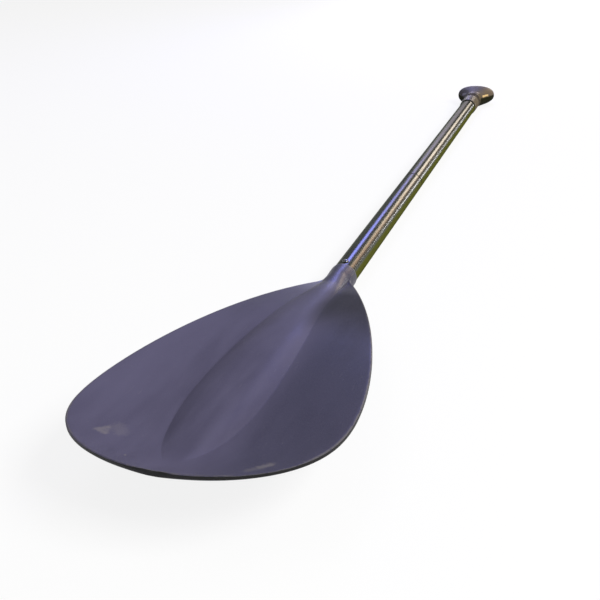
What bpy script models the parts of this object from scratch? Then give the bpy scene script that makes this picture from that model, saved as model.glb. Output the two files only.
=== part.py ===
"""Take-apart stand-up paddle: moulded blade, two-piece shaft on inner ferrules, palm grip.

Metres, +Z up.  The paddle lies face up on its neck and its grip.  The shaft runs along X,
with the blade towards -X and the grip towards +X, and Y is the width of the blade.
The origin is below the middle of the paddle, on the surface that it lies on.
Distances "from the rim" are measured along the shaft from the mouth of the blade's neck:
towards the tip for the blade, towards the grip for everything else.
"""

import math

import bmesh
import bpy
from mathutils import Matrix, Vector

# Fits
GAP = 0.0003            # clearance left between pieces that seat on each other

# Facets
SIDES = 48              # round every turned piece but the button, and round the grip
BUTTON_SIDES = 28
DOME_STEPS = 6
RIB_STEPS = 8           # from the middle of the blade to the rib's border
WING_STEPS = 8          # from there to the blade's edge

# Shaft tubes
TUBE_R = 0.0145
TUBE_WALL = 0.0015
SEAM_AT = 0.361         # from the rim to the joint between the two tubes
GRIP_RIM_AT = 0.878     # from the rim to the lower edge of the grip's collar
TUBE_IN_GRIP = 0.055    # how far the upper tube runs up inside the grip
TUBE_EDGE = 0.0004      # chamfer on the tube ends that meet at the seam

# Ferrules: the inner sleeves on which the sections plug together
FERRULE_WALL = 0.0016
NECK_SOCKET = 0.045     # depth of the ferrule's socket in the neck
NECK_FERRULE_OUT = 0.070
MID_FERRULE_OUT = 0.080
MID_FERRULE_IN = 0.060
LEAD_IN = 0.0012        # chamfer on the ferrules' ends

# Watertight plugs
PLUG_LENGTH = 0.014
PLUG_RIM = 0.0012       # chamfer round a plug's ends
PLUG_SETBACK = 0.002    # from a ferrule's end to its plug
PLUG_DISTANCE = 0.006   # from a ferrule's end to the plug in the tube beyond it

# Snap button at the neck
BUTTON_AT = 0.0090      # from the rim to the button's axis
BUTTON_R = 0.0035
BUTTON_PROUD = 0.0022   # above the tube
BUTTON_DOME = 0.0015
FLANGE_R = 0.0046
FLANGE_H = 0.0010
HOLE_RING = 1.3         # rings of the tubes' meshes beside the hole, in hole radii

# Leaf spring behind the button
SPRING_WIDTH = 0.008
SPRING_THICK = 0.0008
SPRING_BEND_R = 0.005
SPRING_BACK = 0.030     # from the rim back into the neck to the start of the bend
SPRING_TOE = 0.0065     # past the button's axis to the free ends
SPRING_FLAT = 0.0065    # before the button's axis, where the upper leaf becomes level

# Blade outline
BLADE_LENGTH = 0.4452   # rim to tip
BLADE_WIDTH = 0.2235
WIDEST_SHARE = 0.761    # where the blade is widest, as a share of its length from the rim
SHOULDER_DROP = 0.965   # share of the half width lost from the widest place to the rim
SHOULDER_POWER = 1.62
TIP_POWER = 2.70
TIP_ROUND = 0.531

# Blade in side view: the line of its edges, above the shaft's axis
EDGE_AT_RIM = -0.0043
BLADE_BEND = math.radians(15.2)   # at the rim
BLADE_EASE = 0.1330     # how far it falls below that slope by the tip, growing as the square
BLADE_KICK = 0.0609     # and how far it lifts again, growing as the cube

# Blade across
TIP_CUP = 0.0177        # how far the middle would lie below the edges at the tip
CUP_START_SHARE = 0.315
CUP_POWER = 1.2
CUP_FADE = 2.0          # how fast the cup closes as the tip narrows
ROOT_CUP = 0.0025       # depth of the valleys beside the neck
ROOT_CUP_END = 0.130
EDGE_THICK = 0.0042
EDGE_ROUND = 0.0008
CENTRE_THICK = 0.0054
TIP_RINGS = (1.2, 0.6, 0.25, 0.06)   # last sections before the tip, in edge roundings
TIP_FLAT = 0.6          # least share of the half width that the flat faces keep there

# Neck
NECK_R = 0.0157
NECK_LENGTH = 0.013     # round part, from the rim
FIN_END = 0.038         # from the rim to where the round neck has become a winged foil
RIM_ROUND = 0.0005
CREASE_ANGLE = math.radians(60)     # on the round neck, from its top to the rib's border
EDGE_ANGLE = math.radians(66)       # and to the middle of the blade's edge
KEEL_ANGLE = math.radians(105)      # and to the border of the keel underneath
SOCKET_SOLID = 0.005    # from the socket's end to where the top and bottom lines bend

# Rib on the face and keel on the back
RIB_HALF_WIDTH = 0.0326
RIB_WIDEST_SHARE = 0.698
RIB_END_SHARE = 0.950   # where its height has run out
RIB_SPREAD = 2.10       # how late the rib widens
RIB_TAPER = 0.6         # how fast it narrows to its open end
RIB_END_WIDTH = 0.15    # share of its width that is left there
RIB_HEIGHT = 0.0062
RIB_START_SHARE = 0.190
RIB_TOP_SHARE = 0.800   # where it stands highest
RIB_FADE_SHARE = 0.820  # where its end starts to run out
RIDGE_OPEN_SHARE = 0.330    # where the neck's half round has become the rib
RIB_SQUARE = 3.0        # how much flatter its top is where it is widest
RIB_ROOM = 0.8          # most of the blade's half width that it takes up
KEEL_HALF_WIDTH = 0.0240
KEEL_END_SHARE = 0.475

# Grip
COLLAR_LENGTH = 0.050
COLLAR_RIM_R = 0.0160
COLLAR_TOP_R = 0.0172
COLLAR_STEP = 0.0006    # ledge at the collar's top
GRIP_NECK_R = 0.0162
FLARE_AT = 0.062        # from the collar's rim to the start of the flare
FLARE_POWER = 1.6       # how late the flare opens
KNOB_AT = 0.112         # from the collar's rim to the middle of the knob
KNOB_CAP = 0.026        # from the middle of the knob to its end
KNOB_WIDTH = 0.0748
KNOB_THICK = 0.0370
KNOB_POWER = 2.3        # squareness of the knob: 2 is an ellipse
KNOB_TIP = 0.9985       # share of the cap at which its last ring closes it
PAD_LEAD = 0.010        # the underside is level this far before the middle of the knob
PAD_DEPTH = 0.0005      # how deep the knob's underside is eased flat
GRIP_LIFT = 0.0002      # from the resting surface to the underside of the collar

# Places worked out from the driving sizes
TUBE_BORE = TUBE_R - TUBE_WALL
FERRULE_R = TUBE_BORE - GAP
FERRULE_BORE = FERRULE_R - FERRULE_WALL
GRIP_END_AT = GRIP_RIM_AT + KNOB_AT + KNOB_CAP
WIDEST_AT = BLADE_LENGTH * WIDEST_SHARE
CUP_START_AT = BLADE_LENGTH * CUP_START_SHARE
RIB_START_AT = BLADE_LENGTH * RIB_START_SHARE
RIDGE_OPEN_AT = BLADE_LENGTH * RIDGE_OPEN_SHARE
RIB_WIDEST_AT = BLADE_LENGTH * RIB_WIDEST_SHARE
RIB_TOP_AT = BLADE_LENGTH * RIB_TOP_SHARE
RIB_FADE_AT = BLADE_LENGTH * RIB_FADE_SHARE
RIB_END_AT = BLADE_LENGTH * RIB_END_SHARE
KEEL_END_AT = BLADE_LENGTH * KEEL_END_SHARE
SOCKET_END = NECK_SOCKET + SOCKET_SOLID
RIM_X = (BLADE_LENGTH - GRIP_END_AT) / 2
AXIS_Z = NECK_R
BUTTON_TOP = TUBE_R + BUTTON_PROUD
FLANGE_TOP = math.sqrt(FERRULE_BORE ** 2 - FLANGE_R ** 2) - GAP
SPRING_TOP = FLANGE_TOP - FLANGE_H - GAP


def clear_scene():
    for item in list(bpy.data.objects):
        bpy.data.objects.remove(item, do_unlink=True)


def material(name, colour, roughness, metallic=0.0):
    made = bpy.data.materials.new(name)
    made.use_nodes = True
    shader = made.node_tree.nodes["Principled BSDF"]
    shader.inputs["Base Color"].default_value = (*colour, 1.0)
    shader.inputs["Roughness"].default_value = roughness
    shader.inputs["Metallic"].default_value = metallic
    made.diffuse_color = (*colour, 1.0)
    return made


def finish(name, mesh_data, surface, place, parent=None, crease=30.0):
    """Make the named object from a bmesh, smooth shaded up to the crease angle."""
    bmesh.ops.recalc_face_normals(mesh_data, faces=mesh_data.faces)
    mesh = bpy.data.meshes.new(name)
    mesh_data.to_mesh(mesh)
    mesh_data.free()
    mesh.shade_smooth()
    mesh.set_sharp_from_angle(angle=math.radians(crease))
    mesh.materials.append(surface)
    made = bpy.data.objects.new(name, mesh)
    bpy.context.collection.objects.link(made)
    if parent:
        made.parent = parent
        made.location = Vector(place) - parent.location
    else:
        made.location = place
    return made


def cut(target, cutter):
    """Cut a hole with a wire guide that stays in the file."""
    cutter.hide_render = True
    cutter.display_type = "WIRE"
    hole = target.modifiers.new("hole", "BOOLEAN")
    hole.operation = "DIFFERENCE"
    hole.solver = "EXACT"
    hole.object = cutter


def smooth(low, high, value):
    """0 below low, 1 above high, easing in and out between them."""
    share = min(max((value - low) / (high - low), 0.0), 1.0)
    return share * share * (3 - 2 * share)


def turned(name, profile, surface, place, sides=SIDES, turn=None, parent=None):
    """Revolve (along, radius) points round X.

    A profile that starts and ends on the axis makes a solid.  Any other is the wall of a tube.
    """
    work = bmesh.new()
    rings = []
    for along, radius in profile:
        if radius <= 0:
            rings.append([work.verts.new((along, 0, 0))])
            continue
        ring = []
        for step in range(sides):
            angle = 2 * math.pi * step / sides
            ring.append(work.verts.new((along, radius * math.sin(angle), radius * math.cos(angle))))
        rings.append(ring)
    pairs = list(zip(rings, rings[1:]))
    if profile[0][1] > 0:
        pairs.append((rings[-1], rings[0]))
    for here, there in pairs:
        bridge(work, here, there)
    if turn:
        bmesh.ops.transform(work, matrix=turn, verts=work.verts)
    return finish(name, work, surface, place, parent)


def bridge(work, here, there):
    """Join two rings, or a ring and a point, with faces."""
    count = max(len(here), len(there))
    for step in range(count):
        after = (step + 1) % count
        corners = [here[step % len(here)], here[after % len(here)],
                   there[after % len(there)], there[step % len(there)]]
        unique = list(dict.fromkeys(corners))
        work.faces.new(unique)


def tube(name, start, end, outer, surface, edge, wall, parent=None, stops=()):
    """A tube along the shaft, between two distances from the rim.

    Stops are distances at which the outside gets an extra ring, beside a hole.
    """
    length = end - start
    inner = outer - wall
    profile = [(0, inner), (0, outer - edge), (edge, outer)]
    profile += [(stop - start, outer) for stop in stops]
    profile += [(length - edge, outer), (length, outer - edge), (length, inner)]
    profile += [(stop - start, inner) for stop in reversed(stops)]
    return turned(name, profile, surface, along_shaft(start), parent=parent)


def plug(name, start, radius, surface, parent=None):
    """A bung with chamfered ends."""
    profile = [(0, 0), (0, radius - PLUG_RIM), (PLUG_RIM, radius), (PLUG_LENGTH - PLUG_RIM, radius),
               (PLUG_LENGTH, radius - PLUG_RIM), (PLUG_LENGTH, 0)]
    return turned(name, profile, surface, along_shaft(start), parent=parent)


def loft(work, rings):
    """Join the rings one to the next and close both ends."""
    work.faces.new(rings[0])
    work.faces.new(rings[-1])
    for here, there in zip(rings, rings[1:]):
        bridge(work, here, there)


def along_shaft(distance):
    """The point on the shaft's axis at a distance from the rim towards the grip."""
    return (RIM_X + distance, 0.0, AXIS_Z)


# Blade: heights are above the shaft's axis, distances are from the rim towards the tip

def half_width(distance):
    half = BLADE_WIDTH / 2
    if distance > WIDEST_AT:
        share = (distance - WIDEST_AT) / (BLADE_LENGTH - WIDEST_AT)
        return half * max(1 - share ** TIP_POWER, 0.0) ** TIP_ROUND
    share = (WIDEST_AT - distance) / WIDEST_AT
    return half * (1 - SHOULDER_DROP * share ** SHOULDER_POWER)


def face_half_width(distance):
    """Half width of the flat faces, inside the rounded edge."""
    if distance > WIDEST_AT:
        inside = min(distance + EDGE_ROUND, BLADE_LENGTH)
        return max(half_width(inside) - EDGE_ROUND, half_width(distance) * TIP_FLAT)
    return half_width(distance) - EDGE_ROUND


def edge_height(distance):
    share = distance / BLADE_LENGTH
    straight = EDGE_AT_RIM + distance * math.tan(BLADE_BEND)
    return straight - BLADE_EASE * share ** 2 + BLADE_KICK * share ** 3


def edge_half_thickness(distance):
    """Half the thickness at the edge, which is rounded off over the last of the tip."""
    left = max(BLADE_LENGTH - distance, 0.0)
    short = max(EDGE_ROUND - left, 0.0)
    return EDGE_THICK / 2 - EDGE_ROUND + math.sqrt(EDGE_ROUND ** 2 - short ** 2)


def cup_depth(distance):
    """How far the middle of the blade lies below its edges: valleys at the neck, a spoon at the tip."""
    valley = ROOT_CUP * (1 - smooth(NECK_LENGTH, ROOT_CUP_END, distance))
    share = max(distance - CUP_START_AT, 0.0) / (BLADE_LENGTH - CUP_START_AT)
    spoon = TIP_CUP * share ** CUP_POWER
    if distance > WIDEST_AT:
        spoon *= (2 * half_width(distance) / BLADE_WIDTH) ** CUP_FADE
    return valley + spoon


def plate(distance, side, face):
    """Height of the blade's plain surface: face is 1 for the top and -1 for the back."""
    share = (side / half_width(distance)) ** 2
    middle = edge_height(distance) - cup_depth(distance) * (1 - share)
    edge = edge_half_thickness(distance)
    centre = edge + (CENTRE_THICK - EDGE_THICK) / 2
    return middle + face * (centre + (edge - centre) * share)


def rib_half_width(distance):
    start = NECK_R * math.sin(CREASE_ANGLE)
    if distance <= RIB_WIDEST_AT:
        share = max(distance - NECK_LENGTH, 0.0) / (RIB_WIDEST_AT - NECK_LENGTH)
        return start + (RIB_HALF_WIDTH - start) * math.sin(math.pi / 2 * share) ** RIB_SPREAD
    share = min((distance - RIB_WIDEST_AT) / (RIB_END_AT - RIB_WIDEST_AT), 1.0)
    return RIB_HALF_WIDTH * max((1 - share ** 2) ** RIB_TAPER, RIB_END_WIDTH)


def rib_rise(distance):
    """Height of the rib above the plain surface."""
    share = min(max((distance - RIB_START_AT) / (RIB_TOP_AT - RIB_START_AT), 0.0), 1.0)
    fade = 1 - smooth(RIB_FADE_AT, RIB_END_AT, distance)
    return RIB_HEIGHT * math.sin(math.pi / 2 * share) * fade


def rib_crest(distance):
    """Level over the neck, then a straight climb to where the rib proper starts."""
    if distance >= RIDGE_OPEN_AT:
        return plate(distance, 0.0, 1) + rib_rise(distance)
    share = max(distance - SOCKET_END, 0.0) / (RIDGE_OPEN_AT - SOCKET_END)
    top = plate(RIDGE_OPEN_AT, 0.0, 1) + rib_rise(RIDGE_OPEN_AT)
    return NECK_R + (top - NECK_R) * share


def keel_half_width(distance):
    start = NECK_R * math.sin(KEEL_ANGLE)
    return start + (KEEL_HALF_WIDTH - start) * smooth(SOCKET_END, KEEL_END_AT, distance)


def keel_crest(distance):
    """Level under the neck, then a line up to the blade's back."""
    if distance >= KEEL_END_AT:
        return plate(distance, 0.0, -1)
    share = max(distance - SOCKET_END, 0.0) / (KEEL_END_AT - SOCKET_END)
    line = -NECK_R + (plate(KEEL_END_AT, 0.0, -1) + NECK_R) * share
    return min(line, plate(distance, 0.0, -1))


def face_points(distance, ridge, crest, face):
    """One face of the right half, from the centre line out: a ridge, then the wing."""
    inner = face_half_width(distance)
    ridge = min(ridge, inner * RIB_ROOM)
    border = plate(distance, ridge, face)
    circle = 0.5 + 0.5 * smooth(NECK_LENGTH, RIDGE_OPEN_AT, distance)
    power = 2 + RIB_SQUARE * smooth(RIDGE_OPEN_AT, RIB_WIDEST_AT, distance)
    points = []
    for step in range(RIB_STEPS):
        share = math.sin(math.pi / 2 * step / RIB_STEPS)
        rise = (1 - share ** power) ** circle
        points.append((ridge * share, border + (crest - border) * rise))
    for step in range(WING_STEPS + 1):
        side = ridge + (inner - ridge) * step / WING_STEPS
        points.append((side, plate(distance, side, face)))
    return points


def foil_half(distance):
    """The right half of the section as (side, height), from the top round to the bottom."""
    width = half_width(distance)
    edge = edge_height(distance)
    flat = EDGE_THICK / 2 - EDGE_ROUND
    top = face_points(distance, rib_half_width(distance), rib_crest(distance), 1)
    back = face_points(distance, keel_half_width(distance), keel_crest(distance), -1)
    return top + [(width, edge + flat), (width, edge - flat)] + back[::-1]


def round_half(radius):
    """A half circle, point for point in step with the foil's."""
    rim = math.radians(2)
    angles = [CREASE_ANGLE * step / RIB_STEPS for step in range(RIB_STEPS)]
    wing = EDGE_ANGLE - 2 * rim - CREASE_ANGLE
    angles += [CREASE_ANGLE + wing * step / WING_STEPS for step in range(WING_STEPS + 1)]
    angles += [EDGE_ANGLE - rim, EDGE_ANGLE + rim]
    wing = KEEL_ANGLE - EDGE_ANGLE - 2 * rim
    angles += [EDGE_ANGLE + 2 * rim + wing * step / WING_STEPS for step in range(WING_STEPS + 1)]
    keel = math.pi - KEEL_ANGLE
    angles += [KEEL_ANGLE + keel * step / RIB_STEPS for step in range(1, RIB_STEPS + 1)]
    return [(radius * math.sin(angle), radius * math.cos(angle)) for angle in angles]


def blade_half(distance):
    """Half of the blade's section, which grows from the round neck into the foil."""
    share = smooth(NECK_LENGTH, FIN_END, distance)
    neck = round_half(NECK_R)
    if share == 0:
        return neck
    pairs = zip(neck, foil_half(distance))
    return [tuple(a + (b - a) * share for a, b in zip(*pair)) for pair in pairs]


def blade_stations():
    """Distances of the sections, closer together where the shape changes faster."""
    bend = SOCKET_SOLID
    fin = FIN_END - NECK_LENGTH
    body = WIDEST_AT - SOCKET_END - bend
    tip = BLADE_LENGTH - WIDEST_AT
    stations = [RIM_ROUND, NECK_LENGTH]
    stations += [NECK_LENGTH + fin * step / 6 for step in range(1, 7)]
    stations += [SOCKET_END - bend, SOCKET_END, SOCKET_END + bend]
    stations += [SOCKET_END + bend + body * step / 18 for step in range(1, 19)]
    stations += [WIDEST_AT + tip * math.sin(math.pi / 2 * step / 16) for step in range(1, 15)]
    stations += [BLADE_LENGTH - EDGE_ROUND * share for share in TIP_RINGS]
    return stations


def make_blade(surface):
    """Loft the sections, turn in at the rim and go down the socket."""
    work = bmesh.new()

    def ring(distance, half):
        loop = half + [(-side, height) for side, height in reversed(half[1:-1])]
        return [work.verts.new((-distance, -side, height)) for side, height in loop]

    socket = round_half(FERRULE_R + GAP)
    rings = [ring(NECK_SOCKET, socket), ring(0.0, socket), ring(0.0, round_half(NECK_R - RIM_ROUND))]
    rings += [ring(distance, blade_half(distance)) for distance in blade_stations()]
    loft(work, rings)
    return finish("blade", work, surface, along_shaft(0.0), crease=12.0)


# Grip

def knob_curve(share):
    """Quarter of the knob's rounded outline: 1 at its middle and 0 at its end."""
    return max(1 - share ** KNOB_POWER, 0.0) ** (1 / KNOB_POWER)


def grip_section(distance):
    """Half width, half thickness and squareness at a distance from the collar's rim."""
    if distance <= COLLAR_LENGTH:
        radius = COLLAR_RIM_R + (COLLAR_TOP_R - COLLAR_RIM_R) * distance / COLLAR_LENGTH
        return radius, radius, 2.0
    if distance > KNOB_AT:
        cap = knob_curve((distance - KNOB_AT) / KNOB_CAP)
        return KNOB_WIDTH / 2 * cap, KNOB_THICK / 2 * cap, KNOB_POWER
    share = max(distance - FLARE_AT, 0.0) / (KNOB_AT - FLARE_AT)
    flare = math.sin(math.pi / 2 * share ** FLARE_POWER)
    across = GRIP_NECK_R + (KNOB_WIDTH / 2 - GRIP_NECK_R) * flare
    deep = GRIP_NECK_R + (KNOB_THICK / 2 - GRIP_NECK_R) * flare
    return across, deep, 2.0 + (KNOB_POWER - 2.0) * flare


def grip_underside(distance):
    """How far the underside lies below the shaft's axis: the knob reaches past the pad's plane."""
    reach = smooth(COLLAR_LENGTH, KNOB_AT - PAD_LEAD, distance)
    return NECK_R - GRIP_LIFT + (PAD_DEPTH + GRIP_LIFT) * reach


def grip_stations():
    stations = [RIM_ROUND] + [COLLAR_LENGTH * step / 3 for step in range(1, 4)]
    stations += [COLLAR_LENGTH + COLLAR_STEP, (COLLAR_LENGTH + FLARE_AT) / 2, FLARE_AT]
    stations += [FLARE_AT + (KNOB_AT - FLARE_AT) * step / 10 for step in range(1, 11)]
    stations += [KNOB_AT + KNOB_CAP * math.sin(math.pi / 2 * step / 9) for step in range(1, 9)]
    stations.append(KNOB_AT + KNOB_CAP * KNOB_TIP)
    return stations


def make_grip(surface, parent):
    """Loft the collar and knob, with the tube's socket inside, and flatten the underside."""
    work = bmesh.new()

    def ring(distance, across, deep, rise, power=2.0):
        loop = []
        for step in range(SIDES):
            angle = 2 * math.pi * step / SIDES
            side = math.copysign(abs(math.sin(angle)) ** (2 / power), math.sin(angle))
            height = math.copysign(abs(math.cos(angle)) ** (2 / power), math.cos(angle))
            loop.append(work.verts.new((distance, across * side, rise + deep * height)))
        return loop

    socket = TUBE_R + GAP
    lip = COLLAR_RIM_R - RIM_ROUND
    rings = [ring(TUBE_IN_GRIP + GAP, socket, socket, 0.0), ring(0.0, socket, socket, 0.0)]
    rings.append(ring(0.0, lip, lip, lip - grip_underside(0.0) + RIM_ROUND))
    for distance in grip_stations():
        across, deep, power = grip_section(distance)
        rings.append(ring(distance, across, deep, max(deep - grip_underside(distance), 0.0), power))
    loft(work, rings)
    pad = bmesh.ops.bisect_plane(work, geom=work.verts[:] + work.edges[:] + work.faces[:],
                                 plane_co=(0, 0, -AXIS_Z), plane_no=(0, 0, -1), clear_outer=True)
    border = [item for item in pad["geom_cut"] if isinstance(item, bmesh.types.BMEdge)]
    bmesh.ops.contextual_create(work, geom=border)
    return finish("palm_grip", work, surface, along_shaft(GRIP_RIM_AT), parent)


# Snap button and its spring

def upright():
    """Turn a profile that runs along X so that it stands along +Z."""
    return Matrix.Rotation(-math.pi / 2, 4, "Y")


def make_button(surface):
    base = FLANGE_TOP - FLANGE_H
    profile = [(base, 0), (base, FLANGE_R), (FLANGE_TOP, FLANGE_R), (FLANGE_TOP, BUTTON_R)]
    for step in range(DOME_STEPS):
        angle = math.pi / 2 * step / DOME_STEPS
        along = BUTTON_TOP - BUTTON_DOME + BUTTON_DOME * math.sin(angle)
        profile.append((along, BUTTON_R * math.cos(angle)))
    profile.append((BUTTON_TOP, 0))
    place = along_shaft(BUTTON_AT)
    return turned("neck_button", profile, surface, place, BUTTON_SIDES, upright())


def spring_line():
    """Middle line of the spring as (distance from the rim, height above the axis)."""
    reach = math.sqrt(FERRULE_BORE ** 2 - (SPRING_WIDTH / 2) ** 2)
    low = -(reach - GAP - SPRING_THICK / 2)
    high = SPRING_TOP - SPRING_THICK / 2
    toe = BUTTON_AT + SPRING_TOE
    level = BUTTON_AT - SPRING_FLAT
    line = [(toe, low), (level, low)]
    for step in range(13):
        angle = math.pi * step / 12
        line.append((-SPRING_BACK - SPRING_BEND_R * math.sin(angle),
                     low + SPRING_BEND_R * (1 - math.cos(angle))))
    start = line[-1][1]
    for step in range(1, 9):
        along = -SPRING_BACK + (level + SPRING_BACK) * step / 8
        line.append((along, start + (high - start) * smooth(-SPRING_BACK, level, along)))
    line.append((toe, high))
    return line


def make_spring(surface):
    line = [Vector((along, 0, height)) for along, height in spring_line()]
    work = bmesh.new()
    rings = []
    for step, point in enumerate(line):
        ahead = line[min(step + 1, len(line) - 1)] - line[max(step - 1, 0)]
        across = Vector((-ahead.z, 0, ahead.x)).normalized() * SPRING_THICK / 2
        width = Vector((0, SPRING_WIDTH / 2, 0))
        corners = (point + across + width, point + across - width,
                   point - across - width, point - across + width)
        rings.append([work.verts.new(corner) for corner in corners])
    loft(work, rings)
    return finish("neck_button_spring", work, surface, along_shaft(0.0))


def make_hole_guide(name, radius, surface):
    """Wire guide that cuts the button's hole through the top wall of a tube."""
    profile = [(TUBE_BORE / 2, 0), (TUBE_BORE / 2, radius), (TUBE_R * 1.5, radius), (TUBE_R * 1.5, 0)]
    return turned(name, profile, surface, along_shaft(BUTTON_AT), BUTTON_SIDES, upright())


def build():
    clear_scene()
    black_blade = material("blade_plastic", (0.020, 0.021, 0.034), 0.42)
    gloss_black = material("black_gloss_tube", (0.012, 0.012, 0.013), 0.12)
    grey_ferrule = material("ferrule_alloy", (0.46, 0.47, 0.49), 0.35, 1.0)
    bare_steel = material("button_steel", (0.62, 0.62, 0.64), 0.22, 1.0)
    spring_steel = material("spring_steel", (0.42, 0.43, 0.46), 0.30, 1.0)
    soft_foam = material("plug_rubber", (0.030, 0.030, 0.032), 0.85)
    grip_black = material("grip_plastic", (0.030, 0.029, 0.030), 0.30)
    guide = material("guide", (1.0, 0.3, 0.1), 0.5)

    upper = bpy.data.objects.new("upper_section", None)
    bpy.context.collection.objects.link(upper)
    upper.location = along_shaft(SEAM_AT)

    hole = BUTTON_R + GAP
    beside = (BUTTON_AT - HOLE_RING * hole, BUTTON_AT + HOLE_RING * hole)

    make_blade(black_blade)
    neck_ferrule = tube("neck_ferrule", GAP - NECK_SOCKET, NECK_FERRULE_OUT, FERRULE_R, grey_ferrule,
                        LEAD_IN, FERRULE_WALL, stops=beside)
    plug("neck_ferrule_plug", NECK_FERRULE_OUT - PLUG_SETBACK - PLUG_LENGTH, FERRULE_BORE - GAP, soft_foam)
    make_button(bare_steel)
    make_spring(spring_steel)

    lower_shaft = tube("lower_shaft", GAP, SEAM_AT - GAP / 2, TUBE_R, gloss_black, TUBE_EDGE, TUBE_WALL,
                       stops=beside)
    plug("lower_shaft_bottom_plug", NECK_FERRULE_OUT + PLUG_DISTANCE, TUBE_BORE - GAP, soft_foam)
    plug("lower_shaft_top_plug", SEAM_AT - MID_FERRULE_OUT - PLUG_DISTANCE - PLUG_LENGTH,
         TUBE_BORE - GAP, soft_foam)

    tube("mid_ferrule", SEAM_AT - MID_FERRULE_OUT, SEAM_AT + MID_FERRULE_IN, FERRULE_R, grey_ferrule,
         LEAD_IN, FERRULE_WALL, upper)
    plug("mid_ferrule_plug", SEAM_AT - MID_FERRULE_OUT + PLUG_SETBACK, FERRULE_BORE - GAP, soft_foam, upper)
    tube("upper_shaft", SEAM_AT + GAP / 2, GRIP_RIM_AT + TUBE_IN_GRIP, TUBE_R, gloss_black, TUBE_EDGE,
         TUBE_WALL, upper)
    make_grip(grip_black, upper)

    cut(lower_shaft, make_hole_guide("shaft_hole_guide", hole, guide))
    cut(neck_ferrule, make_hole_guide("ferrule_hole_guide", hole, guide))


build()
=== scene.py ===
# %% [markdown]
# Dressing a take-apart stand-up paddle
#
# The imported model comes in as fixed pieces: a moulded blade, two lacquered tubes on
# inner sleeves with foam bungs, a palm grip, and a snap button on its leaf spring.
# Their places stay as they are. The sleeves and bungs keep their shape too, the other
# pieces get a finer skin, and all of them get a real finish. A plain studio and the
# camera complete the scene.

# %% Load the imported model
import math

import bpy
from mathutils import Matrix, Vector, kdtree


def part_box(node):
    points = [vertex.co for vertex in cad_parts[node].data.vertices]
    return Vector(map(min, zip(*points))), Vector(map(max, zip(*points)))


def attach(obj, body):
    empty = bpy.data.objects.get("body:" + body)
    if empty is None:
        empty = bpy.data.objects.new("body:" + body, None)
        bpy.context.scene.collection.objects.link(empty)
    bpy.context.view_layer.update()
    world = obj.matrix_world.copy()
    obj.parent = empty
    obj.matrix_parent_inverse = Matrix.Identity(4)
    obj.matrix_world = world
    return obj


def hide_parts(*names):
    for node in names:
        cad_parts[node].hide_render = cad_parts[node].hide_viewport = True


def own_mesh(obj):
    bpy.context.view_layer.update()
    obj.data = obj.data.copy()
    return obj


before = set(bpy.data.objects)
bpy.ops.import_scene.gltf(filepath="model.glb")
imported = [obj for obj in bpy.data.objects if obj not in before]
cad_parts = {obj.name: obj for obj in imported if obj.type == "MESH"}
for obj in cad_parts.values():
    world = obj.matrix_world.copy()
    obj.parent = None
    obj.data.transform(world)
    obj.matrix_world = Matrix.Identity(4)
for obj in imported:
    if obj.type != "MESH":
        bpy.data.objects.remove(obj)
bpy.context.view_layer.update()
print("nodes:", len(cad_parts))

# %% [markdown]
# The camera comes first, because what it sees decides where detail is worth having.
# It stands off the tip of the blade, a little above it and to its right, and looks
# along the shaft. A camera can be aimed with a constraint, but three unit vectors
# written down once (right, up and back) give exactly the same view on every run.
# Its place is counted from the middle of the neck's rim, as some places below are.

# %% Camera
shaft_low, shaft_high = (Vector(corner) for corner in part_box("lower_shaft"))
NECK_RIM = Vector((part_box("blade")[1][0], 0.0, (shaft_low.z + shaft_high.z) / 2.0))
CAMERA_FROM_RIM = Vector((-0.8468, -0.2599, 0.3825))
RIGHT = Vector((0.32798, -0.94366, -0.04390))
UP = Vector((0.41041, 0.10048, 0.90635))
BACK = Vector((-0.85088, -0.31529, 0.42024))


def placed(middle, x_way, y_way, z_way):
    """A place in space with its x, y and z axes laid along three unit vectors."""
    turn = Matrix((x_way, y_way, z_way)).transposed().to_4x4()
    return Matrix.Translation(middle) @ turn


camera_data = bpy.data.cameras.new("paddle_camera")
camera_data.lens = 51.0
camera_data.sensor_width = 36.0
camera_data.clip_start = 0.01
camera_data.clip_end = 200.0
camera = bpy.data.objects.new("paddle_camera", camera_data)
bpy.context.scene.collection.objects.link(camera)
camera.matrix_world = placed(NECK_RIM + CAMERA_FROM_RIM, RIGHT, UP, BACK)
bpy.context.scene.camera = camera
print("camera to the neck's rim: %.3f m" % CAMERA_FROM_RIM.length)

# %% [markdown]
# Shaping tools
#
# An operator acts on everything that is selected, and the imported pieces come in
# selected. So one helper selects a single piece. Others give a piece a modifier, apply
# all its modifiers in their order, and shade it smooth but keep its real edges. The
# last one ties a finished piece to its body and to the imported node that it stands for.

# %% Select, modify, shade and settle
def only(piece):
    """Select one piece alone and make it the active one."""
    bpy.ops.object.select_all(action="DESELECT")
    piece.select_set(True)
    bpy.context.view_layer.objects.active = piece


def modify(piece, name, kind, **settings):
    """Give a piece a modifier with its settings."""
    made = piece.modifiers.new(name, kind)
    for label, value in settings.items():
        setattr(made, label, value)


def apply_all(piece):
    """Apply the modifiers of a piece in their order."""
    only(piece)
    for name in [item.name for item in piece.modifiers]:
        bpy.ops.object.modifier_apply(modifier=name)


def smooth(piece, angle):
    """Shade a piece smooth, with real edges kept where faces meet above an angle."""
    only(piece)
    bpy.ops.object.shade_smooth_by_angle(angle=math.radians(angle))


def settle(piece, body, node):
    """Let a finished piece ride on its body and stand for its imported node."""
    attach(piece, body)
    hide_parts(node)
    low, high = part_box(node)
    length = high[0] - low[0]
    print(piece.name, "faces:", len(piece.data.polygons), "for", node, "%.3f m long" % length)


# %% [markdown]
# Wear starts where two faces meet, because that is where a piece rubs and knocks.
# A shader can't see edges cheaply, so the mesh tells it: every point near an outer
# edge gets a number from 1 on the edge down to 0 at a chosen reach. Two small sums
# turn a distance into such a number, here and further on.

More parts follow.
